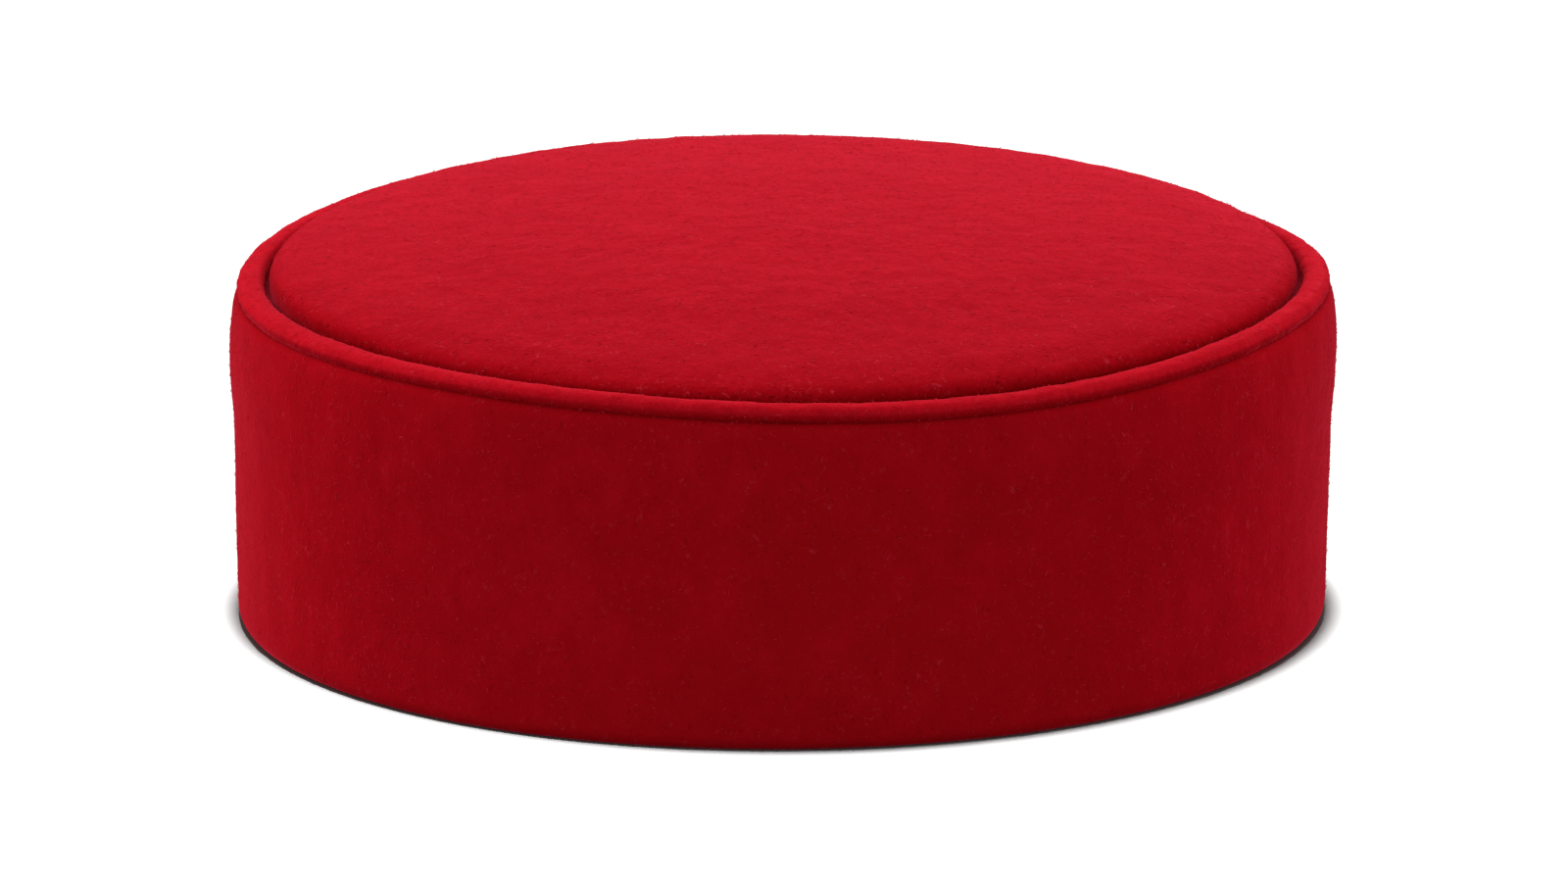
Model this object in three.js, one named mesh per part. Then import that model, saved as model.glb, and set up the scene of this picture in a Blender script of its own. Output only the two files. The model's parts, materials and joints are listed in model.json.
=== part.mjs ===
// Pillbox hat in thick wool felt, in millimetres, +Z up, standing on its rim at z = 0.
// The front is towards -Y. The origin is the centre of the rim's resting plane.
// Three sewn pieces, each a thin closed wall turned about the hat's axis:
//   side_band  the upright wall, with its top and lower edges turned in
//   welt       the round felt bead between band and tip, with its flat tail in the seam
//   tip        the gently crowned top disc, its edge turned down into the seam
import * as THREE from 'three';

// ---- Driving dimensions --------------------------------------------------------------

const FELT = 2;                 // thickness of one layer of felt
const GAP = 0.3;                // clearance between neighbouring pieces
const TURN_STEPS = 64;          // facets once round the hat

const SEAM_DEPTH = 4.5;         // how far band's and welt's allowances reach below the seam
const SEAM_HEIGHT = 57.9;       // top of the band, where welt and band meet
const ALLOWANCE_RADIUS = 91.5;  // inner face of the band's turned-in top edge
const TIP_EDGE_HEIGHT = 57.8;   // lower end of the tip's turned-down edge

const REST_FLAT = { inner: 91.2, outer: 93.0 };  // flat ring that the hat stands on
const RIM_OUTER_HEIGHT = 1.9;                    // where the rim's outer rounding ends
const RIM_INNER_HEIGHT = 1.2;                    // where its inner rounding ends
const HEM_RADIUS = 90.4;                         // inner face of the turned-in hem
const HEM_DEPTH = 10;                            // height that the hem reaches

// The bead is an oval in section that slopes down outwards.
const BEAD = { radius: 92.6, height: 59.2, halfWidth: 2.35, halfHeight: 1.5, slope: 14 };
const BEAD_ARC = { from: -20, to: 190 };         // degrees from outwards, over the top
const TAIL_TOP = 58.2;                           // floor of the channel inside the bead

// Outer face of the band, from the rim upwards.
const BAND_SECTIONS = [
  { height: RIM_OUTER_HEIGHT, radius: 94.35 },
  { height: 7, radius: 94.5 },
  { height: 22, radius: 94.95 },
  { height: 34, radius: 95.3 },
  { height: 42, radius: 95.9 },
  { height: 48, radius: 96.2 },
  { height: 53, radius: 95.95 },
  { height: 56, radius: 95.6 },
  { height: 57.3, radius: 95.1 },
  { height: SEAM_HEIGHT, radius: 94.3 },
];

// Outer face of the tip, from the crown's centre to where its edge hangs straight down.
const TIP_SECTIONS = [
  { radius: 0, height: 68.5 },
  { radius: 40, height: 67.4 },
  { radius: 62, height: 65.85 },
  { radius: 76, height: 64.6 },
  { radius: 81, height: 63.95 },
  { radius: 85.5, height: 62.75 },
  { radius: 88, height: 61.65 },
  { radius: 88.9, height: 60.2 },
];

// Hand-blocked felt is never quite true. Each row is one slow wave round the hat: how many
// times it repeats, its rise at the front, and its rise a quarter wave on, towards +X.
const SEAM_WAVES = [
  { repeats: 1, front: 0.4, aside: 0.1 },
  { repeats: 2, front: 0.4, aside: 0.3 },
  { repeats: 3, front: -0.4, aside: -0.55 },
  { repeats: 4, front: 0.1, aside: -0.2 },
];
const TIP_WAVES = [
  { repeats: 1, front: -0.1, aside: 0.12 },
  { repeats: 3, front: 0, aside: -0.08 },
];
// The outline seen from above swells and narrows the same way, at the rim and at the seam.
const RIM_PLAN_WAVES = [
  { repeats: 2, front: -0.1, aside: -0.75 },
];
const SEAM_PLAN_WAVES = [
  { repeats: 2, front: 0.55, aside: 0 },
  { repeats: 4, front: 0.4, aside: 0 },
];
const WAVE_RADIUS = 92;         // where the waves have their full size
const LEAN = 0.3;               // sideways drift from the rim to the seam
const FULLEST_HEIGHT = 48;      // level that the lean leaves in place

const FELT_RED = '#b3152a';

// ---- Outline helpers -----------------------------------------------------------------

const point = (radius, height) => new THREE.Vector2(radius, height);

function smoothOutline(sections, steps) {
  const curve = new THREE.SplineCurve(sections.map((row) => point(row.radius, row.height)));
  return curve.getPoints(steps);
}

// Part of an ellipse, its angles in degrees counted from straight outwards towards the top.
// A sloping ellipse is turned so that its outer end drops.
function arc(centre, halfWidth, halfHeight, fromDegrees, toDegrees, steps, slope = 0) {
  return Array.from({ length: steps + 1 }, (_, step) => {
    const turn = THREE.MathUtils.degToRad(
      THREE.MathUtils.lerp(fromDegrees, toDegrees, step / steps));
    return point(halfWidth * Math.cos(turn), halfHeight * Math.sin(turn))
      .rotateAround(point(0, 0), -THREE.MathUtils.degToRad(slope))
      .add(centre);
  });
}

// The same outline, moved by one thickness to its left-hand side.
function innerFace(outline, thickness) {
  return outline.map((here, index) => {
    const before = outline[Math.max(index - 1, 0)];
    const after = outline[Math.min(index + 1, outline.length - 1)];
    const along = after.clone().sub(before).normalize();
    return point(here.x - along.y * thickness, here.y + along.x * thickness);
  });
}

// ---- Solids of revolution, with the hand-blocked waves -------------------------------

function waveSize(waves, turn) {
  return waves.reduce((sum, row) => sum
    + row.front * Math.cos(row.repeats * turn)
    + row.aside * Math.sin(row.repeats * turn), 0);
}

function wavedPoint(x, y, z, heightWaves) {
  const turn = Math.atan2(x, -y);
  const reach = Math.hypot(x, y) / WAVE_RADIUS;
  const share = z / SEAM_HEIGHT;
  const plan = THREE.MathUtils.lerp(
    waveSize(RIM_PLAN_WAVES, turn), waveSize(SEAM_PLAN_WAVES, turn), share);
  const swell = 1 + plan / WAVE_RADIUS;
  const drift = LEAN * (z - FULLEST_HEIGHT) / SEAM_HEIGHT;
  const rise = waveSize(heightWaves, turn) * share * reach ** 2;
  return [x * swell + drift, y * swell, z + rise];
}

function feltRing(name, outline, heightWaves) {
  const geometry = new THREE.LatheGeometry(outline, TURN_STEPS);
  geometry.rotateX(Math.PI / 2);
  const position = geometry.getAttribute('position');
  for (let index = 0; index < position.count; index += 1) {
    const [x, y, z] = wavedPoint(
      position.getX(index), position.getY(index), position.getZ(index), heightWaves);
    position.setXYZ(index, x, y, z);
  }
  geometry.computeVertexNormals();
  const material = new THREE.MeshStandardMaterial({
    color: FELT_RED, roughness: 0.95, metalness: 0 });
  const mesh = new THREE.Mesh(geometry, material);
  mesh.name = name;
  return mesh;
}

// ---- The three pieces ----------------------------------------------------------------

const SEAM_FOOT = SEAM_HEIGHT - SEAM_DEPTH;

function sideBand() {
  const outside = smoothOutline(BAND_SECTIONS, 14);
  const rimOutside = arc(
    point(REST_FLAT.outer, RIM_OUTER_HEIGHT),
    BAND_SECTIONS[0].radius - REST_FLAT.outer, RIM_OUTER_HEIGHT, -90, 0, 3);
  const rimInside = arc(
    point(REST_FLAT.inner, RIM_INNER_HEIGHT),
    REST_FLAT.inner - HEM_RADIUS, RIM_INNER_HEIGHT, -180, -90, 2);
  const inside = innerFace(outside, FELT)
    .filter((spot) => spot.y > HEM_DEPTH + FELT && spot.y < SEAM_FOOT - FELT)
    .reverse();
  return feltRing('side_band', [
    ...rimOutside,
    ...outside.slice(1),
    point(ALLOWANCE_RADIUS, SEAM_HEIGHT),
    point(ALLOWANCE_RADIUS, SEAM_FOOT),
    point(inside[0].x, SEAM_FOOT),
    ...inside,
    point(inside.at(-1).x, HEM_DEPTH),
    point(HEM_RADIUS, HEM_DEPTH),
    ...rimInside,
    rimOutside[0],
  ], SEAM_WAVES);
}

function welt() {
  const tailOuter = ALLOWANCE_RADIUS - GAP;
  const tailInner = TIP_SECTIONS.at(-1).radius + GAP;
  const bead = arc(
    point(BEAD.radius, BEAD.height),
    BEAD.halfWidth, BEAD.halfHeight, BEAD_ARC.from, BEAD_ARC.to, 12, BEAD.slope);
  return feltRing('welt', [
    point(tailOuter, SEAM_FOOT),
    point(tailOuter, SEAM_HEIGHT + GAP),
    point(BAND_SECTIONS.at(-1).radius, SEAM_HEIGHT + GAP),
    ...bead,
    point(tailInner, TAIL_TOP),
    point(tailInner, SEAM_FOOT),
    point(tailOuter, SEAM_FOOT),
  ], SEAM_WAVES);
}

function tip() {
  const outside = smoothOutline(TIP_SECTIONS, 14);
  const edgeOuter = TIP_SECTIONS.at(-1).radius;
  const edgeInner = edgeOuter - FELT;
  const inside = innerFace(outside, -FELT).filter((spot) => spot.x < edgeInner);
  inside[0].x = 0;
  return feltRing('tip', [
    ...inside,
    point(edgeInner, TIP_EDGE_HEIGHT),
    point(edgeOuter, TIP_EDGE_HEIGHT),
    ...outside.reverse(),
  ], TIP_WAVES);
}

const hat = new THREE.Group();
hat.name = 'pillbox_hat';
hat.add(sideBand(), welt(), tip());

export default hat;
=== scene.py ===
"""A pillbox hat in thick red wool felt: side band, welt and tip, with their nap.

Everything is in metres, +Z up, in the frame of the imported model. Tables are in millimetres.
"""

import json
import math
from collections import namedtuple

import bmesh
import bpy
import numpy as np
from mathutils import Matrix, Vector

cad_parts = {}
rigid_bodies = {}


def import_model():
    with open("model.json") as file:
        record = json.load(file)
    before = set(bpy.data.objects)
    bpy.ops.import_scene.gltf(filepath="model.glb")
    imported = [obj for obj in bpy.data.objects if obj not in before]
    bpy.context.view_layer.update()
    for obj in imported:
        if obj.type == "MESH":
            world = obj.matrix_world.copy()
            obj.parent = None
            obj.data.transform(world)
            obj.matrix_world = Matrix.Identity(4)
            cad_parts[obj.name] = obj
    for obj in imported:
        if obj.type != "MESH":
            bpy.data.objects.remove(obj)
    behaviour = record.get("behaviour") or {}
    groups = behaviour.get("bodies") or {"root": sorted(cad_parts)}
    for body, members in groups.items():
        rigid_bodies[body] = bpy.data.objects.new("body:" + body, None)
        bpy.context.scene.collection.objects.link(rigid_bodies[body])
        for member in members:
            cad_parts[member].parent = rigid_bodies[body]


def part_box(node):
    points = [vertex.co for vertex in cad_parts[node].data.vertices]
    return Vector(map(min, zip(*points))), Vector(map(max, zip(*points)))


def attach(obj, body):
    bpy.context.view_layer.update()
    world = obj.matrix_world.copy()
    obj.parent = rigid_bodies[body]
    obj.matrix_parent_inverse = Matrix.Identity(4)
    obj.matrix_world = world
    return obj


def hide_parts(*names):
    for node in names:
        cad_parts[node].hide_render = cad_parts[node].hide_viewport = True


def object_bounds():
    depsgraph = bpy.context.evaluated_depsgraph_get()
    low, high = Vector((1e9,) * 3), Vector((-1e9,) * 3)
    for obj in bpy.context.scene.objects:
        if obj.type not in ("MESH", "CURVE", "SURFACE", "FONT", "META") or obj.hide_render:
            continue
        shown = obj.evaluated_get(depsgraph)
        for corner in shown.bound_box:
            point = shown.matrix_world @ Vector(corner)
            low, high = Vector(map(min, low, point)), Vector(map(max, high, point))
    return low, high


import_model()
CAD_LOW, CAD_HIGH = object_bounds()

bl_info = {
    "name": "Pillbox Hat",
    "version": (1, 0, 0),
    "blender": (4, 5, 0),
    "location": "View3D > Sidebar > Hat",
    "description": "Builds a felt pillbox hat in three sewn pieces, with nap, on a pale floor",
    "category": "Add Mesh",
}

MM = 0.001
BOX_TOLERANCE = 1.0 * MM        # how far a made piece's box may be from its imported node's


# ---- Outlines of the three pieces, in millimetres --------------------------------------

Section = namedtuple("Section", "radius height")
Wave = namedtuple("Wave", "repeats front aside")
Ellipse = namedtuple("Ellipse", "radius height half_width half_height slope")

FELT = 2.0                      # one layer of felt
GAP = 0.3                       # clearance between neighbouring pieces
SEAM_HEIGHT = 57.9              # top of the band
SEAM_FOOT = 53.4                # lower end of the band's and the welt's seam allowances
ALLOWANCE_RADIUS = 91.5         # inner face of the band's turned-in top edge
TIP_EDGE_HEIGHT = 56.9          # lower end of the tip's edge, deep enough to close the seam
REST_INNER, REST_OUTER = 91.2, 92.4
RIM_OUTER_HEIGHT, RIM_INNER_HEIGHT = 2.6, 1.2
HEM_RADIUS, HEM_DEPTH = 90.4, 10.0
TAIL_TOP = 58.6                 # floor of the channel inside the bead
PRESS = 0.05                    # how far the soft faces sink into each other along the seam

BAND_SECTIONS = [
    Section(94.35, RIM_OUTER_HEIGHT),
    Section(94.5, 7),
    Section(94.95, 22),
    Section(95.3, 34),
    Section(95.9, 42),
    Section(96.2, 48),
    Section(95.95, 53),
    Section(95.6, 56),
    Section(95.25, 57.2),
    Section(94.65, 58.05),
]
TIP_SECTIONS = [
    Section(0, 68.5),
    Section(40, 67.4),
    Section(62, 65.85),
    Section(76, 64.6),
    Section(81, 63.95),
    Section(86.1, 62.95),
    Section(88.2, 62.05),
    Section(89.1, 60.9),
    Section(89.3, 59.7),
]
BEAD = Ellipse(92.6, 59.2, 2.35, 1.55, 6)
BEAD_FROM, BEAD_TO = -40, 190   # degrees from outwards, over the top
BEAD_FULLNESS = 1.3             # over 1, so the rolled felt is a little squarer than an oval

# Hand-blocked felt is never quite true: slow waves round the hat, in height and in plan.
SEAM_WAVES = [
    Wave(1, 0.4, 0.1),
    Wave(2, 0.4, 0.3),
    Wave(3, -0.4, -0.55),
    Wave(4, 0.1, -0.2),
]
TIP_WAVES = [Wave(1, -0.1, 0.12), Wave(3, 0, -0.08)]
RIM_PLAN_WAVES = [Wave(2, -0.1, -0.75)]
SEAM_PLAN_WAVES = [Wave(2, 0.55, 0), Wave(4, 0.4, 0)]
WAVE_RADIUS = 92
LEAN = 0.3
FULLEST_HEIGHT = 48


# ---- Settings that a user would change -------------------------------------------------

class HatSurface(bpy.types.PropertyGroup):
    """How finely the pieces are made, and how uneven the felt is."""

    spacing: bpy.props.FloatProperty(
        name="Spacing", description="Distance between the points of a visible face",
        default=0.68 * MM, min=0.2 * MM, unit="LENGTH")
    lump_size: bpy.props.FloatProperty(
        name="Lump size", description="Width of the soft lumps left by felting",
        default=7 * MM, min=1 * MM, unit="LENGTH")
    lump_height: bpy.props.FloatProperty(
        name="Lump height", description="Height of the soft lumps",
        default=0.17 * MM, min=0, unit="LENGTH")
    grain_size: bpy.props.FloatProperty(
        name="Grain size", description="Width of the felt's small grain",
        default=1.9 * MM, min=0.5 * MM, unit="LENGTH")
    grain_height: bpy.props.FloatProperty(
        name="Grain height", description="Height of the small grain",
        default=0.035 * MM, min=0, unit="LENGTH")
    seed: bpy.props.IntProperty(
        name="Seed", description="Picks one pattern of lumps and grain", default=7)


class HatNap(bpy.types.PropertyGroup):
    """The loose wool fibres that stand on the felt."""

    density: bpy.props.FloatProperty(
        name="Fibres", description="Loose fibres on each square millimetre",
        default=0.58, min=0)
    length: bpy.props.FloatProperty(
        name="Length", description="Usual length of a loose fibre",
        default=0.75 * MM, min=0.1 * MM, unit="LENGTH")
    thickness: bpy.props.FloatProperty(
        name="Thickness", description="Thickness of a loose fibre",
        default=0.075 * MM, min=0.01 * MM, unit="LENGTH")
    lift: bpy.props.FloatProperty(
        name="Lift", description="Steepest angle at which a fibre stands up",
        default=math.radians(38), subtype="ANGLE")
    frizz: bpy.props.FloatProperty(
        name="Frizz", description="How far a fibre strays from its plain curve",
        default=0.2 * MM, min=0, unit="LENGTH")
    seed: bpy.props.IntProperty(
        name="Seed", description="Picks one scatter of fibres", default=11)


class HatColour(bpy.types.PropertyGroup):
    """The dye of the wool. Its deep colour also paints shade in the seams, and its light colour
    paints light on the welt.
    """

    felt: bpy.props.FloatVectorProperty(
        name="Felt", description="Colour of the dyed wool",
        default=(0.44, 0.0030, 0.0085), size=3, min=0, max=1, subtype="COLOR")
    pale: bpy.props.FloatVectorProperty(
        name="Pale fibre", description="Colour of the fibres that took the dye least",
        default=(0.72, 0.045, 0.075), size=3, min=0, max=1, subtype="COLOR")
    # Also the colour the welt's felt is lifted towards, as painted light.
    light: bpy.props.FloatVectorProperty(
        name="Light felt", description="Colour where the dyed wool is lightest",
        default=(0.80, 0.010, 0.024), size=3, min=0, max=1, subtype="COLOR")
    # Also the colour of the painted shade down in the seams.
    deep: bpy.props.FloatVectorProperty(
        name="Deep fibre", description="Colour of the pores between the fibres",
        default=(0.20, 0.0006, 0.0022), size=3, min=0, max=1, subtype="COLOR")
    sheen: bpy.props.FloatVectorProperty(
        name="Sheen", description="Colour of the soft sheen on the nap",
        default=(1.0, 0.05, 0.095), size=3, min=0, max=1, subtype="COLOR")


class HatStage(bpy.types.PropertyGroup):
    """Floor, light and camera."""

    floor_size: bpy.props.FloatProperty(
        name="Floor", description="Length of each side of the floor",
        default=14, unit="LENGTH")
    camera_distance: bpy.props.FloatProperty(
        name="Camera distance", description="From the camera to what it looks at",
        default=6, unit="LENGTH")
    camera_elevation: bpy.props.FloatProperty(
        name="Camera elevation", description="Angle of the camera above the horizon",
        default=math.radians(14.72), subtype="ANGLE")
    view_width: bpy.props.FloatProperty(
        name="View width", description="Width of the picture at the hat",
        default=272.35 * MM, unit="LENGTH")
    brightness: bpy.props.FloatProperty(
        name="Brightness", description="Strength of all the lights together",
        default=1.12, min=0)


# ---- Node trees ------------------------------------------------------------------------

class Wire:
    """One output socket of a node tree. Arithmetic on it adds Math nodes to that tree."""

    def __init__(self, tree, socket=None):
        self.tree = tree
        self.socket = socket

    def add(self, kind, settings=None, inputs=None, output=0):
        """Add a node: first its settings, then the values or links of its sockets."""
        node = self.tree.nodes.new(kind)
        for name, value in (settings or {}).items():
            setattr(node, name, value)
        for name, value in (inputs or {}).items():
            if isinstance(value, Wire):
                self.tree.links.new(value.socket, node.inputs[name])
            else:
                node.inputs[name].default_value = value
        return Wire(self.tree, node.outputs[output] if node.outputs else None)

    def maths(self, operation, *values):
        return self.add("ShaderNodeMath", {"operation": operation}, dict(enumerate(values)))

    def __add__(self, other):
        return self.maths("ADD", self, other)

    __radd__ = __add__

    def __sub__(self, other):
        return self.maths("SUBTRACT", self, other)

    def __rsub__(self, other):
        return self.maths("SUBTRACT", other, self)

    def __mul__(self, other):
        return self.maths("MULTIPLY", self, other)

    __rmul__ = __mul__

    def __truediv__(self, other):
        return self.maths("DIVIDE", self, other)

    def __rtruediv__(self, other):
        return self.maths("DIVIDE", other, self)

    def size(self):
        return self.maths("ABSOLUTE", self)

    def between(self, low, high):
        """0 at low and under, 1 at high and over, with a soft change between."""
        return self.add(
            "ShaderNodeMapRange", {"interpolation_type": "SMOOTHSTEP"},
            {"Value": self, "From Min": low, "From Max": high})

    def kept_within(self, low, high):
        """The same number, no lower than low and no higher than high."""
        return self.add("ShaderNodeClamp", inputs={"Value": self, "Min": low, "Max": high})

    def blend(self, first, second):
        """A mix of two colours, with this wire as the share of the second."""
        return self.add(
            "ShaderNodeMix", {"data_type": "RGBA"}, {0: self, 6: first, 7: second}, output=2)

    def vector_maths(self, operation, *values, output=0):
        return self.add(
            "ShaderNodeVectorMath", {"operation": operation}, dict(enumerate(values)), output)

    def scaled(self, factor):
        return self.add(
            "ShaderNodeVectorMath", {"operation": "SCALE"}, {0: self, "Scale": factor})


# ---- Felt finish -----------------------------------------------------------------------

# The last field is painted light: 0 on band and tip, while the welt's felt is lifted lighter all
# over to stand in for the light on the bead's top.
Finish = namedtuple("Finish", "name stretch seed grain fleck pits lightness")
BAND_FINISH = Finish("band_felt_wool", (1, 1, 0.72), 3, 0.24, 0.30, 0.30, 0.0)
WELT_FINISH = Finish("welt_felt_wool", (1, 1, 1), 11, 0.80, 0.45, 0.50, 0.36)
TIP_FINISH = Finish("tip_felt_wool", (1, 0.7, 1), 19, 0.68, 0.50, 0.66, 0.0)
NAP_STRENGTH = 0.80             # sheen of the nap
PAINTED_SEAM_DARKNESS = 0.75               # painted shade: how much darker the felt is painted down in a seam, where shadow falls
NAP_SPREAD = 0.30               # roughness of that sheen


def opaque(colour):
    return (*colour, 1)


def felt_material(finish):
    """Dyed wool felt: cloudy dye, pores, curled pale fibres and a soft velvet sheen. Down in the
    seams it is painted darker, as painted shade, and the welt's felt is lifted lighter all over,
    as painted light.
    """
    dye = bpy.context.scene.hat_colour
    material = bpy.data.materials.new(finish.name)
    material.use_nodes = True
    tree = material.node_tree
    tree.nodes.clear()
    start = Wire(tree)
    place = start.add("ShaderNodeTexCoord", output="Object")
    along = start.add(
        "ShaderNodeMapping", inputs={"Vector": place, "Scale": finish.stretch})

    def cloud(size, detail=2.0, shift=0.0, vector=place, distortion=0.0):
        return start.add(
            "ShaderNodeTexNoise", {"noise_dimensions": "4D"},
            {"Vector": vector, "W": finish.seed + shift, "Scale": 1 / size,
             "Detail": detail, "Roughness": 0.55, "Distortion": distortion})

    def hairs(size, width, shift, vector):
        """Thin curling lines, where a noise passes through its middle value."""
        line = (cloud(size, 1.0, shift, vector, 0.8) - 0.5).size()
        return 1 - line.between(0.0, width)

    dye_cloud = cloud(24 * MM, 2.0, 0.0)
    cloudlet = cloud(10 * MM, 2.0, 9.0, along)
    mottle = cloud(4.2 * MM, 3.0, 1.0, along)
    grain = cloud(0.9 * MM, 2.0, 2.0, along)
    patch = cloud(7 * MM, 1.0, 3.0)
    pores = cloud(0.75 * MM, 1.0, 4.0, along).between(0.60, 0.74)
    curls = hairs(1.5 * MM, 0.030, 5.0, along) * cloud(1.3 * MM, 1.0, 6.0).between(0.55, 0.68)
    strands = hairs(2.4 * MM, 0.020, 7.0, along) * cloud(1.7 * MM, 1.0, 8.0).between(0.54, 0.66)

    # The dye's random cloudy tone. The finish's last value adds painted light to it: on the welt
    # it lifts the whole felt towards the light colour.
    shade = ((dye_cloud - 0.5) * 0.24 + (cloudlet - 0.5) * 0.28 + (mottle - 0.5) * 0.40
             + (grain - 0.5) * finish.grain + finish.lightness)
    # Painted shade: down in the seams the felt is painted towards the pore colour and kept from
    # the light colour, standing in for the shadow in the channel and creases.
    fold = start.add("ShaderNodeAttribute", {"attribute_name": "fold"}, output="Fac")
    deep = (pores * finish.pits * patch.between(0.35, 0.6) - shade + fold * PAINTED_SEAM_DARKNESS
            ).kept_within(0.0, 1.0)
    pale = ((curls + strands) * finish.fleck * patch.between(0.3, 0.6)).kept_within(0.0, 1.0)
    colour = deep.blend(opaque(dye.felt), opaque(dye.deep))
    colour = (shade - fold).kept_within(0.0, 1.0).blend(colour, opaque(dye.light))
    colour = pale.blend(colour, opaque(dye.pale))

    height = mottle * 0.8 + grain * 0.55 - pores * 0.4 + (curls + strands) * 0.35
    bump = start.add(
        "ShaderNodeBump", inputs={"Strength": 0.55, "Distance": 0.25 * MM, "Height": height})
    shader = start.add("ShaderNodeBsdfPrincipled", inputs={
        "Base Color": colour,
        "Roughness": 0.86 + grain * 0.12,
        "Specular IOR Level": 0.0,
        "Sheen Weight": NAP_STRENGTH,
        "Sheen Roughness": NAP_SPREAD,
        "Sheen Tint": opaque(dye.sheen),
        "Normal": bump,
    })
    start.add("ShaderNodeOutputMaterial", inputs={"Surface": shader})
    return material


def fibre_material():
    """Single loose fibres, each with its own depth of dye."""
    dye = bpy.context.scene.hat_colour
    material = bpy.data.materials.new("loose_wool")
    material.use_nodes = True
    tree = material.node_tree
    tree.nodes.clear()
    start = Wire(tree)
    tone = start.add("ShaderNodeAttribute", {"attribute_name": "tone"}, output="Fac")
    colour = (tone.between(0.1, 1.0) * 0.45 + 0.05).blend(opaque(dye.light), opaque(dye.pale))
    shader = start.add("ShaderNodeBsdfPrincipled", inputs={
        "Base Color": colour,
        "Roughness": 0.8,
        "Specular IOR Level": 0.0,
        "Sheen Weight": NAP_STRENGTH,
        "Sheen Roughness": NAP_SPREAD,
        "Sheen Tint": opaque(dye.sheen),
    })
    start.add("ShaderNodeOutputMaterial", inputs={"Surface": shader})
    return material


# ---- Outline helpers -------------------------------------------------------------------

def smooth_outline(sections, spacing):
    """Points at even spacing along a smooth curve through the sections."""
    rows = np.array(sections, float)
    padded = np.vstack([rows[:1], rows, rows[-1:]])
    share = np.linspace(0, 1, 40, endpoint=False)[:, None]
    stretches = []
    for before, here, there, after in zip(padded, padded[1:], padded[2:], padded[3:]):
        leave, arrive = (there - before) / 2, (after - here) / 2
        stretches.append(
            (2 * here - 2 * there + leave + arrive) * share ** 3
            + (3 * there - 3 * here - 2 * leave - arrive) * share ** 2
            + leave * share + here)
    return evenly(np.vstack([*stretches, rows[-1:]]), spacing)


def evenly(points, spacing):
    """The same line with its points a near equal distance apart."""
    points = np.array(points, float)
    lengths = np.linalg.norm(np.diff(points, axis=0), axis=1)
    travelled = np.concatenate([[0], np.cumsum(lengths)])
    steps = max(1, round(travelled[-1] / spacing))
    wanted = np.linspace(0, travelled[-1], steps + 1)
    return np.column_stack([np.interp(wanted, travelled, points[:, axis]) for axis in (0, 1)])


def arc(radius, height, half_width, half_height, start, end, steps, slope=0, fullness=1):
    """Part of an ellipse. Angles count from straight outwards towards the top.

    A fullness above 1 flattens the top and the sides and tightens the corners.
    """
    turn = np.radians(np.linspace(start, end, steps + 1))
    across, up = np.cos(turn), np.sin(turn)
    x = half_width * np.sign(across) * np.abs(across) ** (1 / fullness)
    z = half_height * np.sign(up) * np.abs(up) ** (1 / fullness)
    tilt = -math.radians(slope)
    return np.column_stack([
        radius + x * math.cos(tilt) - z * math.sin(tilt),
        height + x * math.sin(tilt) + z * math.cos(tilt)])


def inner_face(outline, thickness):
    """The same outline, moved by one thickness to its left-hand side."""
    along = np.gradient(outline, axis=0)
    along /= np.linalg.norm(along, axis=1)[:, None]
    return outline + thickness * np.column_stack([-along[:, 1], along[:, 0]])


def joined(*parts):
    """One closed outline and, for each of its points, whether it shows."""
    outline = np.vstack([points for points, _ in parts])
    shown = np.concatenate([np.full(len(points), float(show)) for points, show in parts])
    kept = np.linalg.norm(outline - np.roll(outline, 1, axis=0), axis=1) > 1e-6
    return outline[kept], shown[kept]


# ---- Turning an outline into a piece ---------------------------------------------------

def wave_size(waves, turn):
    return sum(w.front * np.cos(w.repeats * turn) + w.aside * np.sin(w.repeats * turn)
               for w in waves)


def waved(radius, height, turn, height_waves):
    """Where a point of a true solid of revolution goes on the hand-blocked hat."""
    share = height / SEAM_HEIGHT
    plan = (wave_size(RIM_PLAN_WAVES, turn) * (1 - share)
            + wave_size(SEAM_PLAN_WAVES, turn) * share)
    swell = 1 + plan / WAVE_RADIUS
    drift = LEAN * (height - FULLEST_HEIGHT) / SEAM_HEIGHT
    rise = wave_size(height_waves, turn) * share * (radius / WAVE_RADIUS) ** 2
    return np.stack([
        radius * np.sin(turn) * swell + drift,
        -radius * np.cos(turn) * swell,
        height + rise], axis=-1)


def painted_seam_shade_mask(heights, mouth, bottom):
    """Mask of painted shade: 0 on the open felt and 1 down in a seam, for outline points at
    these heights.
    """
    share = np.clip((heights - mouth) / (bottom - mouth), 0, 1)
    return share * share * (3 - 2 * share)


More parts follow.
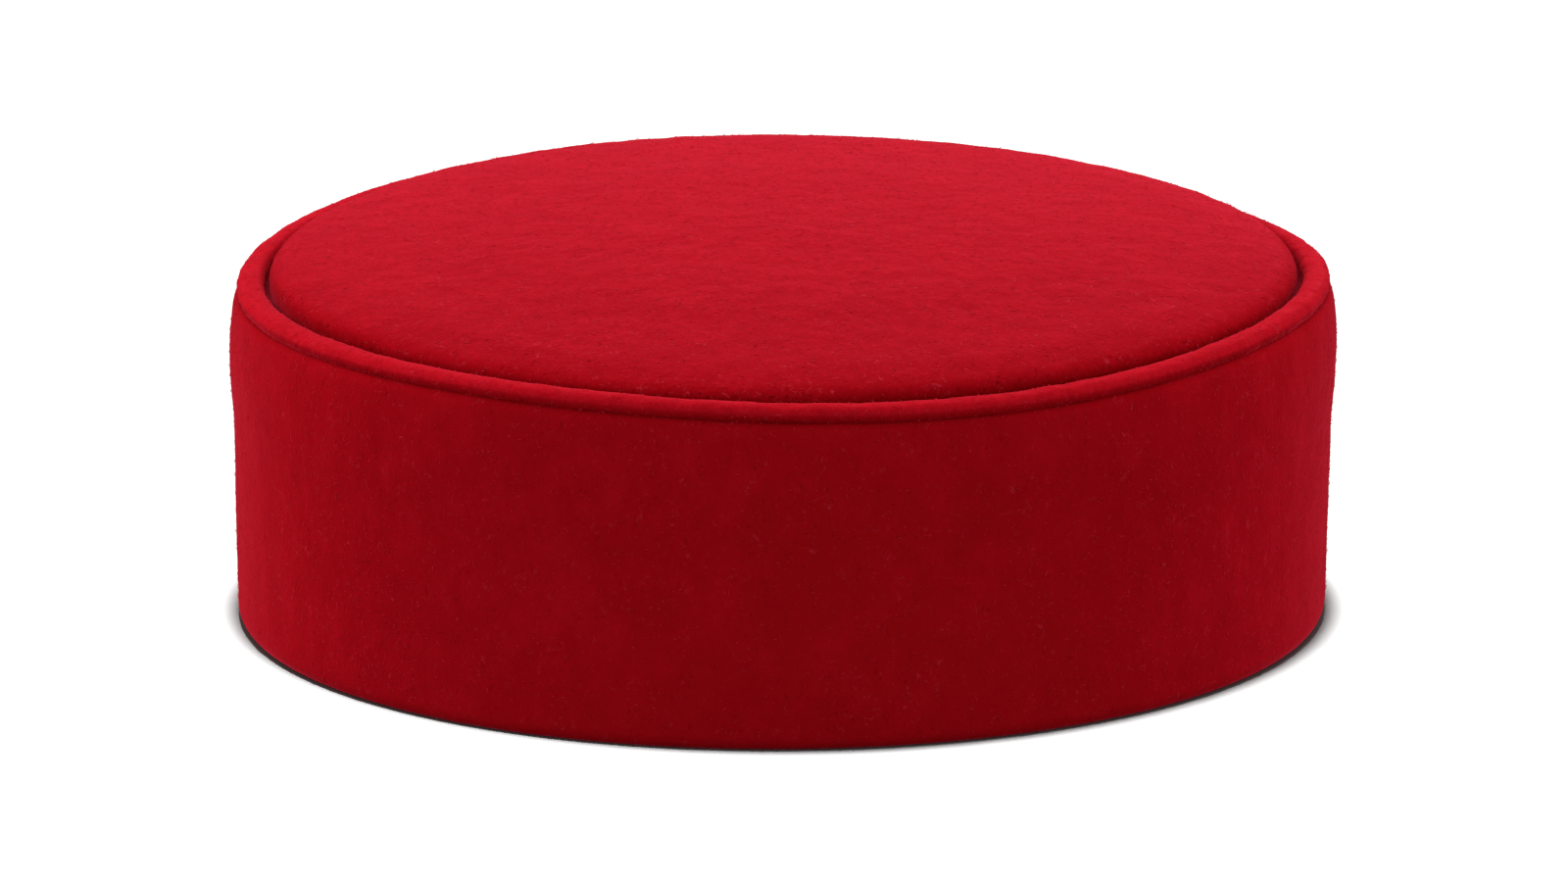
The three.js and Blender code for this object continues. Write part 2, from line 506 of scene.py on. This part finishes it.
def revolve(name, outline, shown, fold, columns, height_waves, on_axis=False):
    """A closed mesh turned about the hat's axis.

    Its show attribute is 1 where it is seen, and its painted seam shade attribute is 1 down in a
    seam, where the felt is painted darker as painted shade.
    """
    turn = np.linspace(0, 2 * math.pi, columns, endpoint=False)[:, None]
    grid = waved(outline[None, :, 0], outline[None, :, 1], turn, height_waves) * MM
    rows = len(outline)
    points = grid.reshape(-1, 3)
    column = np.arange(columns)[:, None]
    row = np.arange(rows - 1 if on_axis else rows)[None, :]
    here = column * rows + row
    above = column * rows + (row + 1) % rows
    here_next = (column + 1) % columns * rows + row
    above_next = (column + 1) % columns * rows + (row + 1) % rows
    faces = np.stack([here, here_next, above_next, above], axis=-1).reshape(-1, 4)
    mesh = bpy.data.meshes.new(name)
    mesh.from_pydata(points.tolist(), [], faces.tolist())
    for label, values in (("show", shown), ("fold", fold)):
        attribute = mesh.attributes.new(label, "FLOAT", "POINT")
        attribute.data.foreach_set("value", np.tile(values, columns).astype(np.float32))
    if on_axis:
        close_poles(mesh)
    mesh.polygons.foreach_set("use_smooth", np.ones(len(mesh.polygons), bool))
    mesh.update()
    return bpy.data.objects.new(name, mesh)


def close_poles(mesh):
    """Merge the points that fall together on the axis."""
    work = bmesh.new()
    work.from_mesh(mesh)
    bmesh.ops.remove_doubles(work, verts=work.verts, dist=1e-7)
    work.to_mesh(mesh)
    work.free()


# ---- Geometry node trees ---------------------------------------------------------------

def modifier_tree(name, sockets):
    """A geometry node tree with named inputs, and wires to its start and its inputs."""
    tree = bpy.data.node_groups.new(name, "GeometryNodeTree")
    tree.is_modifier = True
    tree.interface.new_socket("Geometry", in_out="INPUT", socket_type="NodeSocketGeometry")
    for label, kind in sockets:
        tree.interface.new_socket(label, in_out="INPUT", socket_type=kind)
    tree.interface.new_socket("Geometry", in_out="OUTPUT", socket_type="NodeSocketGeometry")
    start = Wire(tree)
    group_input = tree.nodes.new("NodeGroupInput")
    wires = {s.name: Wire(tree, s) for s in group_input.outputs if s.name}
    return start, wires


def end_tree(start, geometry, material):
    realized = start.add("GeometryNodeRealizeInstances", inputs={"Geometry": geometry})
    finished = start.add(
        "GeometryNodeSetMaterial", inputs={"Geometry": realized, "Material": material})
    start.add("NodeGroupOutput", inputs={"Geometry": finished})
    return start.tree


def surface_tree():
    """Raises soft lumps and a small grain on a smooth piece, along its normals."""
    start, given = modifier_tree("felt_surface", [
        ("Lump Size", "NodeSocketFloat"),
        ("Lump Height", "NodeSocketFloat"),
        ("Grain Size", "NodeSocketFloat"),
        ("Grain Height", "NodeSocketFloat"),
        ("Seed", "NodeSocketInt"),
        ("Material", "NodeSocketMaterial"),
    ])
    place = start.add("GeometryNodeInputPosition")
    normal = start.add("GeometryNodeInputNormal")
    show = start.add(
        "GeometryNodeInputNamedAttribute", {"data_type": "FLOAT"}, {"Name": "show"})

    def rise(size, height, detail):
        return height * 2 * (start.add(
            "ShaderNodeTexNoise", {"noise_dimensions": "4D"},
            {"Vector": place, "W": given["Seed"], "Scale": 1 / size, "Detail": detail,
             "Roughness": 0.5}) - 0.5)

    lift = (rise(given["Lump Size"], given["Lump Height"], 1.0)
            + rise(given["Grain Size"], given["Grain Height"], 1.0)) * show
    moved = start.add("GeometryNodeSetPosition", inputs={
        "Geometry": given["Geometry"], "Offset": normal.scaled(lift)})
    return end_tree(start, moved, given["Material"])


FLOOR_CLEARANCE = 0.15 * MM     # no fibre reaches lower than this
ANYWHERE = -1.0                 # metres, further aside than any fibre
LENGTH_SPREAD = (0.45, 1.5)     # shortest and longest fibre, against the usual one
FRIZZ_SIZE = 0.6                # width of one kink, against the usual length


def nap_tree():
    """Scatters curled fibres over the visible faces of a piece."""
    start, given = modifier_tree("felt_nap", [
        ("Fibre", "NodeSocketObject"),
        ("Density", "NodeSocketFloat"),
        ("Length", "NodeSocketFloat"),
        ("Lift", "NodeSocketFloat"),
        ("Frizz", "NodeSocketFloat"),
        ("Seed", "NodeSocketInt"),
        ("Material", "NodeSocketMaterial"),
    ])
    show = start.add(
        "GeometryNodeInputNamedAttribute", {"data_type": "FLOAT"}, {"Name": "show"})
    scatter = start.add(
        "GeometryNodeDistributePointsOnFaces", {"distribute_method": "RANDOM"},
        {"Mesh": given["Geometry"], "Density": given["Density"] * show, "Seed": given["Seed"]})
    facing = Wire(start.tree, scatter.socket.node.outputs["Rotation"])

    def chance(low, high, seed):
        """A number picked for each fibre. The node's sockets 2, 3 and 1 are plain numbers."""
        return start.add(
            "FunctionNodeRandomValue", {"data_type": "FLOAT"},
            {2: low, 3: high, "Seed": given["Seed"] + seed}, output=1)

    lean = given["Lift"] * chance(-1.0, 1.0, 1)
    turn = chance(0.0, 2 * math.pi, 2)
    roll = chance(0.0, 2 * math.pi, 3)
    twist = start.add("ShaderNodeCombineXYZ", inputs={"X": roll})
    lay = start.add("ShaderNodeCombineXYZ", inputs={"Y": lean, "Z": turn})
    lay = start.add("FunctionNodeEulerToRotation", inputs={0: lay})
    twist = start.add("FunctionNodeEulerToRotation", inputs={0: twist})
    pose = start.add(
        "FunctionNodeRotateRotation", {"rotation_space": "LOCAL"},
        {"Rotation": facing, "Rotate By": lay})
    pose = start.add(
        "FunctionNodeRotateRotation", {"rotation_space": "LOCAL"},
        {"Rotation": pose, "Rotate By": twist})
    reach = given["Length"] * chance(*LENGTH_SPREAD, 4)
    size = start.add("ShaderNodeCombineXYZ", inputs={"X": reach, "Y": reach, "Z": reach})
    fibre = start.add(
        "GeometryNodeObjectInfo", {"transform_space": "ORIGINAL"},
        {"Object": given["Fibre"]}, output="Geometry")
    planted = start.add("GeometryNodeInstanceOnPoints", inputs={
        "Points": scatter, "Instance": fibre, "Rotation": pose, "Scale": size})
    toned = start.add(
        "GeometryNodeStoreNamedAttribute", {"data_type": "FLOAT", "domain": "INSTANCE"},
        {"Geometry": planted, "Name": "tone", "Value": chance(0.0, 1.0, 6)})
    loose = start.add("GeometryNodeRealizeInstances", inputs={"Geometry": toned})
    place = start.add("GeometryNodeInputPosition")
    stray = start.add(
        "ShaderNodeTexNoise", {"noise_dimensions": "3D"},
        {"Vector": place, "Scale": 1 / (given["Length"] * FRIZZ_SIZE), "Detail": 0.0},
        output="Color")
    stray = stray.vector_maths("SUBTRACT", stray, (0.5, 0.5, 0.5)).scaled(given["Frizz"])
    strayed = place.vector_maths("ADD", place, stray)
    bent = place.vector_maths("MAXIMUM", strayed, (ANYWHERE, ANYWHERE, FLOOR_CLEARANCE))
    bent = start.add("GeometryNodeSetPosition", inputs={"Geometry": loose, "Position": bent})
    return end_tree(start, bent, given["Material"])


def made_plain(source, tree, values, name):
    """Run a geometry tree on a copy of source, and keep its result as a plain mesh object."""
    bpy.context.scene.collection.objects.link(source)
    modifier = source.modifiers.new("maker", "NODES")
    modifier.node_group = tree
    for item in tree.interface.items_tree:
        if item.in_out == "INPUT" and item.name in values:
            modifier[item.identifier] = values[item.name]
    source.update_tag()
    bpy.context.view_layer.update()
    depsgraph = bpy.context.evaluated_depsgraph_get()
    mesh = bpy.data.meshes.new_from_object(source.evaluated_get(depsgraph))
    bpy.data.objects.remove(source)
    mesh.name = name
    piece = bpy.data.objects.new(name, mesh)
    bpy.context.scene.collection.objects.link(piece)
    return piece


def felted(smooth, material, grain_share=1.0, lump_share=1.0):
    """A smooth piece with the felt's lumps and grain raised on it."""
    surface = bpy.context.scene.hat_surface
    name = smooth.name
    smooth.name = name + "_smooth"
    return made_plain(smooth, surface_tree(), {
        "Lump Size": surface.lump_size,
        "Lump Height": surface.lump_height * lump_share,
        "Grain Size": surface.grain_size,
        "Grain Height": surface.grain_height * grain_share,
        "Seed": surface.seed,
        "Material": material,
    }, name)


FIBRE_RINGS = 2                 # rings of points between a fibre's two ends
FIBRE_SIDES = 3
FIBRE_ARCH = 0.16               # rise of a fibre's middle, as a share of its length


def fibre_template(thickness_share):
    """One fibre of unit length along X, arched and pointed at both ends."""
    points = [(-0.5, 0, 0)]
    for ring in range(FIBRE_RINGS):
        along = (ring + 1) / (FIBRE_RINGS + 1) - 0.5
        rise = FIBRE_ARCH * (1 - (2 * along) ** 2)
        for side in range(FIBRE_SIDES):
            turn = 2 * math.pi * side / FIBRE_SIDES
            points.append((along, thickness_share / 2 * math.cos(turn) + rise / 2,
                           thickness_share / 2 * math.sin(turn) + rise))
    points.append((0.5, 0, 0))
    last = len(points) - 1
    faces = []
    for side in range(FIBRE_SIDES):
        following = (side + 1) % FIBRE_SIDES
        faces.append((0, 1 + following, 1 + side))
        for ring in range(FIBRE_RINGS - 1):
            base = 1 + ring * FIBRE_SIDES
            faces.append((base + side, base + following,
                          base + FIBRE_SIDES + following, base + FIBRE_SIDES + side))
        base = 1 + (FIBRE_RINGS - 1) * FIBRE_SIDES
        faces.append((base + side, base + following, last))
    mesh = bpy.data.meshes.new("fibre")
    mesh.from_pydata(points, [], faces)
    mesh.polygons.foreach_set("use_smooth", np.ones(len(mesh.polygons), bool))
    return bpy.data.objects.new("fibre", mesh)


def napped(piece, name, density_share, seed):
    """The loose fibres that stand on a finished piece."""
    nap = bpy.context.scene.hat_nap
    fibre = fibre_template(nap.thickness / nap.length)
    bpy.context.scene.collection.objects.link(fibre)
    ground = bpy.data.objects.new(name + "_ground", piece.data.copy())
    made = made_plain(ground, nap_tree(), {
        "Fibre": fibre,
        "Density": nap.density * density_share / MM ** 2,
        "Length": nap.length,
        "Lift": nap.lift,
        "Frizz": nap.frizz,
        "Seed": nap.seed + seed,
        "Material": fibre_material(),
    }, name)
    bpy.data.objects.remove(fibre)
    return made


def settled(piece, node=None):
    """Join a piece to the frame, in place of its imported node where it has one."""
    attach(piece, "root")
    if node is None:
        return
    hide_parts(node)
    low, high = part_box(node)
    points = np.array([v.co for v in piece.data.vertices])
    off = max(np.abs(points.min(0) - np.array(low)).max(),
              np.abs(points.max(0) - np.array(high)).max())
    if off > BOX_TOLERANCE:
        raise RuntimeError(f"{piece.name} is {off / MM:.2f} mm off its packed node")


# ---- The three pieces ------------------------------------------------------------------

WELT_GRAIN = 2.6                # grain of the rolled and the blocked felt, against the band's
TIP_GRAIN = 2.0
WELT_LUMPS = 1.6                # its lumps, against the band's
ROUND_STEPS = 8                 # steps in a small rounding
COARSE = 5.0                    # spacing on hidden faces


class HAT_OT_side_band(bpy.types.Operator):
    """Make the upright felt wall, its rim and top edge turned in."""

    bl_idname = "hat.side_band"
    bl_label = "Side band"

    def execute(self, context):
        spacing = context.scene.hat_surface.spacing / MM
        outside = smooth_outline(BAND_SECTIONS, spacing)
        rim_outside = arc(
            REST_OUTER, RIM_OUTER_HEIGHT, BAND_SECTIONS[0].radius - REST_OUTER,
            RIM_OUTER_HEIGHT, -90, 0, ROUND_STEPS)
        rim_inside = arc(
            REST_INNER, RIM_INNER_HEIGHT, REST_INNER - HEM_RADIUS,
            RIM_INNER_HEIGHT, -180, -90, ROUND_STEPS // 2)
        inside = inner_face(smooth_outline(BAND_SECTIONS, COARSE), FELT)
        above_hem = inside[:, 1] > HEM_DEPTH + FELT
        inside = inside[above_hem & (inside[:, 1] < SEAM_FOOT - FELT)][::-1]
        outline, shown = joined(
            (rim_outside, 0),
            (outside[1:], 1),
            (evenly([outside[-1], (ALLOWANCE_RADIUS, SEAM_HEIGHT)], spacing)[1:], 0),
            ([(ALLOWANCE_RADIUS, SEAM_FOOT), (inside[0][0], SEAM_FOOT)], 0),
            (inside, 0),
            ([(inside[-1][0], HEM_DEPTH), (HEM_RADIUS, HEM_DEPTH)], 0),
            (rim_inside, 0))
        columns = round(2 * math.pi * BAND_SECTIONS[5].radius / (spacing * 1.06))
        # Painted shade: the band's top edge is painted darker, in the crease under the bead.
        piece = felted(
            revolve("band_wall", outline, shown, painted_seam_shade_mask(outline[:, 1], 57.3, 58.0),
                    columns, SEAM_WAVES),
            felt_material(BAND_FINISH))
        settled(piece, "side_band")
        return {"FINISHED"}


class HAT_OT_welt(bpy.types.Operator):
    """Make the felt bead between band and tip, with its flat tail in the seam."""

    bl_idname = "hat.welt"
    bl_label = "Welt"

    def execute(self, context):
        spacing = context.scene.hat_surface.spacing / MM * 0.8
        tail_outer = ALLOWANCE_RADIUS - GAP
        tail_inner = TIP_SECTIONS[-1].radius - PRESS
        seat = SEAM_HEIGHT - PRESS
        bead = arc(BEAD.radius, BEAD.height, BEAD.half_width, BEAD.half_height,
                   BEAD_FROM, BEAD_TO, 30, BEAD.slope, BEAD_FULLNESS)
        outline, shown = joined(
            ([(tail_outer, SEAM_FOOT), (tail_outer, seat), (BAND_SECTIONS[-1].radius, seat)], 0),
            (bead, 1),
            ([(tail_inner, TAIL_TOP), (tail_inner, SEAM_FOOT)], 0))
        columns = round(2 * math.pi * BEAD.radius / spacing)
        # Painted shade: the bead's lower side and its tail in the channel are painted darker.
        piece = felted(
            revolve("welt_bead", outline, shown, painted_seam_shade_mask(outline[:, 1], 59.7, 58.5),
                    columns, SEAM_WAVES),
            felt_material(WELT_FINISH), WELT_GRAIN, WELT_LUMPS)
        settled(piece, "welt")
        return {"FINISHED"}


class HAT_OT_tip(bpy.types.Operator):
    """Make the gently crowned top disc, its edge turned down into the seam."""

    bl_idname = "hat.tip"
    bl_label = "Tip"

    def execute(self, context):
        spacing = context.scene.hat_surface.spacing / MM * 1.15
        outside = smooth_outline(TIP_SECTIONS, spacing)
        edge_outer = TIP_SECTIONS[-1].radius
        edge_inner = edge_outer - FELT
        inside = inner_face(smooth_outline(TIP_SECTIONS, COARSE), -FELT)
        inside = inside[inside[:, 0] < edge_inner]
        inside[0, 0] = 0
        outline, shown = joined(
            (inside, 0),
            ([(edge_inner, TIP_EDGE_HEIGHT), (edge_outer, TIP_EDGE_HEIGHT)], 0),
            (outside[::-1], 1))
        columns = round(2 * math.pi * edge_outer / (spacing * 1.1))
        # Painted shade: the tip's edge, where it rolls down into the channel, is painted darker.
        piece = felted(
            revolve("tip_crown", outline, shown, painted_seam_shade_mask(outline[:, 1], 62.6, 60.6),
                    columns, TIP_WAVES, on_axis=True),
            felt_material(TIP_FINISH), TIP_GRAIN)
        settled(piece, "tip")
        return {"FINISHED"}


# ---- Nap -------------------------------------------------------------------------------

Nap = namedtuple("Nap", "name ground slot density_share seed")
NAPS = [
    Nap("band_nap", "band_wall", "band_felt", 0.78, 1),
    Nap("welt_nap", "welt_bead", "welt_felt", 1.6, 2),
    Nap("tip_nap", "tip_crown", "tip_felt", 1.0, 3),
]


class HAT_OT_nap(bpy.types.Operator):
    """Plant the loose wool fibres on the finished band, welt and tip."""

    bl_idname = "hat.nap"
    bl_label = "Nap"

    def execute(self, context):
        for nap in NAPS:
            ground = bpy.data.objects[nap.ground]
            settled(napped(ground, nap.name, nap.density_share, nap.seed))
        return {"FINISHED"}


# ---- Stage -----------------------------------------------------------------------------

Softbox = namedtuple("Softbox", "name azimuth elevation distance width height watts")
SOFTBOXES = [
    Softbox("back_left_softbox", -125, 22, 1.3, 0.6, 0.5, 7.2),
    Softbox("back_right_softbox", 125, 22, 1.3, 0.6, 0.5, 4.9),
    Softbox("back_softbox", 180, 22, 1.3, 0.6, 0.5, 0.9),
    Softbox("high_left_softbox", -130, 48, 1.2, 0.6, 0.5, 2.0),
    Softbox("high_right_softbox", 130, 48, 1.2, 0.6, 0.5, 1.5),
    Softbox("left_softbox", -90, 30, 1.3, 0.6, 0.4, 1.5),
    Softbox("low_left_softbox", -92, 6, 1.3, 0.6, 0.3, 1.0),
    Softbox("low_right_softbox", 95, 6, 1.3, 0.6, 0.3, 1.8),
    Softbox("front_softbox", 0, 6, 1.3, 0.6, 0.3, 1.6),
]
AMBIENT = 0.36
OVERHEAD_STRENGTH = 17.0        # light on the paper alone, from high above the front
OVERHEAD_ELEVATION = 88.5
OVERHEAD_SPREAD = 6             # degrees across, which sets how soft its shadow is
SENSOR_WIDTH = 36
AIM_RISE = 30.25 * MM
PAPER_SHADE = 0.20              # of the sheet that is seen, burnt out to white from overhead
GROUND_SHADE = 0.3              # of the sheet that throws light back on the hat
GROUND_DROP = 0.5 * MM


def direction(azimuth, elevation):
    """Unit vector from the hat: azimuth 0 is the front, 90 is +X."""
    a, e = math.radians(azimuth), math.radians(elevation)
    return Vector((math.sin(a) * math.cos(e), -math.cos(a) * math.cos(e), math.sin(e)))


class HAT_OT_stage(bpy.types.Operator):
    """Set out the pale floor, the softboxes and the camera."""

    bl_idname = "hat.stage"
    bl_label = "Stage"

    def execute(self, context):
        settings = context.scene.hat_stage
        self.make_floor(settings)
        self.make_world(settings)
        middle = Vector((0, 0, (CAD_LOW.z + CAD_HIGH.z) / 2))
        hat_only = bpy.data.collections.new("lit_by_softboxes")  # the pieces and the ground
        for piece in bpy.data.objects:
            if piece.type == "MESH" and piece.name != "floor":
                hat_only.objects.link(piece)
        for box in SOFTBOXES:
            lamp = self.make_softbox(box, middle, settings.brightness)
            lamp.light_linking.receiver_collection = hat_only
        floor_only = bpy.data.collections.new("lit_from_above")
        floor_only.objects.link(bpy.data.objects["floor"])
        lamp = self.make_overhead(settings.brightness)
        lamp.light_linking.receiver_collection = floor_only
        self.make_camera(settings)
        context.scene.view_settings.view_transform = "Standard"
        return {"FINISHED"}

    def make_floor(self, settings):
        """Two sheets: a paper to look at, and a ground that throws light back on the hat."""
        paper = self.make_sheet("floor", 0, PAPER_SHADE, settings.floor_size)
        paper.visible_diffuse = False
        paper.visible_glossy = False
        paper.visible_shadow = False
        ground = self.make_sheet("ground", -GROUND_DROP, GROUND_SHADE, settings.floor_size)
        ground.visible_camera = False

    def make_sheet(self, name, height, shade, size):
        half = size / 2
        mesh = bpy.data.meshes.new(name)
        corners = [(-half, -half, height), (half, -half, height),
                   (half, half, height), (-half, half, height)]
        mesh.from_pydata(corners, [], [(0, 1, 2, 3)])
        sheet = bpy.data.objects.new(name, mesh)
        bpy.context.scene.collection.objects.link(sheet)
        material = bpy.data.materials.new(name + "_paper")
        material.use_nodes = True
        material.node_tree.nodes.clear()
        start = Wire(material.node_tree)
        matt = start.add("ShaderNodeBsdfDiffuse", inputs={"Color": (shade, shade, shade, 1)})
        start.add("ShaderNodeOutputMaterial", inputs={"Surface": matt})
        mesh.materials.append(material)
        return sheet

    def make_world(self, settings):
        """An even glow from all round, which is plain white where it is looked at."""
        world = bpy.data.worlds.new("studio")
        bpy.context.scene.world = world
        world.use_nodes = True
        world.node_tree.nodes.clear()
        start = Wire(world.node_tree)
        ambient = AMBIENT * settings.brightness
        looked_at = start.add("ShaderNodeLightPath", output="Is Camera Ray")
        glow = start.add("ShaderNodeBackground", inputs={
            "Color": (1, 1, 1, 1), "Strength": looked_at * (1 - ambient) + ambient})
        start.add("ShaderNodeOutputWorld", inputs={"Surface": glow})

    def make_softbox(self, box, middle, brightness):
        light = bpy.data.lights.new(box.name, "AREA")
        light.shape = "RECTANGLE"
        light.size = box.width
        light.size_y = box.height
        light.energy = box.watts * brightness
        lamp = bpy.data.objects.new(box.name, light)
        away = direction(box.azimuth, box.elevation)
        lamp.location = middle + away * box.distance
        lamp.rotation_euler = away.to_track_quat("Z", "Y").to_euler()
        lamp.visible_camera = False
        bpy.context.scene.collection.objects.link(lamp)
        return lamp

    def make_overhead(self, brightness):
        light = bpy.data.lights.new("overhead", "SUN")
        light.energy = OVERHEAD_STRENGTH * brightness
        light.angle = math.radians(OVERHEAD_SPREAD)
        lamp = bpy.data.objects.new("overhead", light)
        away = direction(0, OVERHEAD_ELEVATION)
        lamp.location = away
        lamp.rotation_euler = away.to_track_quat("Z", "Y").to_euler()
        bpy.context.scene.collection.objects.link(lamp)
        return lamp

    def make_camera(self, settings):
        data = bpy.data.cameras.new("camera")
        data.sensor_width = SENSOR_WIDTH
        data.lens = SENSOR_WIDTH * settings.camera_distance / settings.view_width
        data.clip_start = 0.1
        data.clip_end = 50
        camera = bpy.data.objects.new("camera", data)
        back = direction(0, math.degrees(settings.camera_elevation))
        aim = Vector((LEAN * MM / 2, 0, AIM_RISE))
        camera.location = aim + back * settings.camera_distance
        camera.rotation_euler = back.to_track_quat("Z", "Y").to_euler()
        bpy.context.scene.collection.objects.link(camera)
        bpy.context.scene.camera = camera


# ---- Add-on ----------------------------------------------------------------------------

class HAT_PT_panel(bpy.types.Panel):
    """Lists the hat's pieces and settings in the sidebar."""

    bl_idname = "HAT_PT_panel"
    bl_label = "Pillbox Hat"
    bl_space_type = "VIEW_3D"
    bl_region_type = "UI"
    bl_category = "Hat"

    def draw(self, context):
        for group in SETTINGS:
            column = self.layout.column(heading=group)
            settings = getattr(context.scene, group)
            for name in settings.__annotations__:
                column.prop(settings, name)
        for operator in OPERATORS:
            self.layout.operator(operator.bl_idname)


SETTINGS = {
    "hat_surface": HatSurface,
    "hat_nap": HatNap,
    "hat_colour": HatColour,
    "hat_stage": HatStage,
}
OPERATORS = [HAT_OT_side_band, HAT_OT_welt, HAT_OT_tip, HAT_OT_nap, HAT_OT_stage]


def register():
    for name, group in SETTINGS.items():
        bpy.utils.register_class(group)
        setattr(bpy.types.Scene, name, bpy.props.PointerProperty(type=group))
    for operator in OPERATORS:
        bpy.utils.register_class(operator)
    bpy.utils.register_class(HAT_PT_panel)


def unregister():
    bpy.utils.unregister_class(HAT_PT_panel)
    for operator in reversed(OPERATORS):
        bpy.utils.unregister_class(operator)
    for name, group in reversed(SETTINGS.items()):
        delattr(bpy.types.Scene, name)
        bpy.utils.unregister_class(group)


def main():
    register()
    for operator in OPERATORS:
        getattr(bpy.ops.hat, operator.bl_idname.split(".")[1])()


if __name__ == "__main__":
    main()
